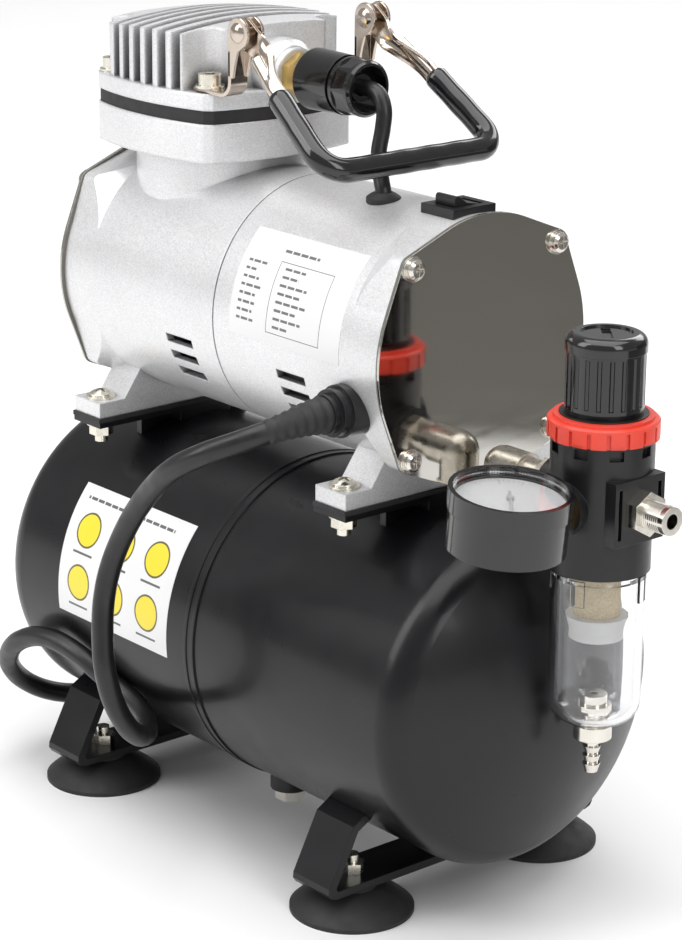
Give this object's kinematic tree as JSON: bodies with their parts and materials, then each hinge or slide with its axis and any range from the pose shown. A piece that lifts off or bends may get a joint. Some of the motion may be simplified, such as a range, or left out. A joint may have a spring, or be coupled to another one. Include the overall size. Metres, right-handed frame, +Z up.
{
  "type": "airbrush compressor",
  "caption": "Small oil-free piston compressor on a horizontal air tank with suction feet, a filter regulator with gauge, a pressure switch and a folding carry handle",
  "frame": {"origin": "on the floor, midway between the four suction feet", "axes": "+X along the tank towards the filter regulator, -Y the side with the power cord and stickers, +Z up"},
  "size_m": [0.3132, 0.2928, 0.3086],
  "materials": {
    "tank_paint": "gloss black",
    "black_rubber": "satin",
    "cast_silver": "silver painted casting",
    "plated_steel": "bright plated",
    "polished_plate": "mirror polished",
    "gasket_card": "matt",
    "dark_steel": "machined",
    "copper_wire": "enamelled copper",
    "brass": "bright",
    "black_plastic": "semi gloss",
    "red_plastic": "semi gloss",
    "clear_plastic": "clear",
    "filter_foam": "porous",
    "white_plastic": "satin",
    "black_mark": "satin",
    "sticker_film": "gloss film"
  },
  "bodies": {
    "frame": {"tank_half_left": "tank_paint", "tank_half_right": "tank_paint", "leg_bracket_left": "tank_paint", "leg_bracket_right": "tank_paint", "saddle_bars": "tank_paint", "suction_feet": "black_rubber", "rubber_strips": "black_rubber", "head_gasket": "black_rubber", "power_cord": "black_rubber", "cord_coil": "black_rubber", "switch_lead": "black_rubber", "lead_grommet": "black_rubber", "crankcase": "cast_silver", "motor_casing": "cast_silver", "cylinder_block": "cast_silver", "cylinder_head": "cast_silver", "drain_plug": "plated_steel", "foot_fasteners": "plated_steel", "motor_fasteners": "plated_steel", "plate_screws": "plated_steel", "head_screws": "plated_steel", "handle_brackets": "plated_steel", "tank_elbow": "plated_steel", "outlet_nipple": "plated_steel", "near_end_plate": "polished_plate", "far_end_plate": "polished_plate", "plate_gaskets": "gasket_card", "stator": "dark_steel", "bearings": "dark_steel", "stator_coils": "copper_wire", "switch_nipple": "brass", "gauge_stem": "brass", "pressure_switch": "black_plastic", "rocker_bezel": "black_plastic", "cord_gland": "black_plastic", "mains_plug": "black_plastic", "regulator_body": "black_plastic", "gauge_case": "black_plastic", "lock_ring": "red_plastic", "bowl": "clear_plastic", "gauge_glass": "clear_plastic", "filter_element": "filter_foam", "filter_baffle": "white_plastic", "gauge_dial": "white_plastic", "rating_sticker": "sticker_film", "caution_sticker": "sticker_film"},
    "handle": {"handle_bail": "plated_steel", "handle_sleeve": "black_plastic"},
    "knob_screw": {"adjusting_screw": "brass"},
    "knob": {"regulator_knob": "black_plastic"},
    "switch_rocker": {"rocker": "black_plastic"},
    "spindle": {"motor_shaft": "dark_steel", "rotor": "dark_steel", "cooling_fan": "black_plastic", "crank_disc": "dark_steel"},
    "piston_rod": {"piston": "dark_steel", "connecting_rod": "dark_steel"},
    "needle": {"gauge_needle": "black_mark"},
    "drain": {"drain_valve": "plated_steel"}
  },
  "joints": [
    {"name": "handle_fold", "type": "hinge", "parent": "frame", "child": "handle", "pos_m": [-0.005, 0, 0.303], "axis": [0, 1, 0], "range_deg": [-200, 0]},
    {"name": "knob_turn", "type": "hinge", "parent": "frame", "child": "knob_screw", "pos_m": [0.148, 0, 0.19], "axis": [0, 0, 1], "range_deg": [-1080, 0]},
    {"name": "knob_lift", "type": "slide", "parent": "knob_screw", "child": "knob", "axis": [0, 0, 1], "range_m": [0, 0.003]},
    {"name": "rocker_tip", "type": "hinge", "parent": "frame", "child": "switch_rocker", "pos_m": [0.075, 0, 0.2495], "axis": [1, 0, 0], "range_deg": [0, 12]},
    {"name": "shaft_spin", "type": "hinge", "parent": "frame", "child": "spindle", "pos_m": [0, 0, 0.202], "axis": [1, 0, 0], "continuous": true},
    {"name": "piston_stroke", "type": "slide", "parent": "frame", "child": "piston_rod", "axis": [0, 0, 1], "range_m": [-0.005, 0.005]},
    {"name": "needle_sweep", "type": "hinge", "parent": "frame", "child": "needle", "pos_m": [0.148, -0.0428, 0.1633], "axis": [0.1045, 0, 0.9945], "range_deg": [-270, 0], "stiffness_Nm_per_rad": 0.00005},
    {"name": "drain_push", "type": "slide", "parent": "frame", "child": "drain", "axis": [0, 0, 1], "range_m": [0, 0.0015], "stiffness_N_per_m": 400}
  ]
}
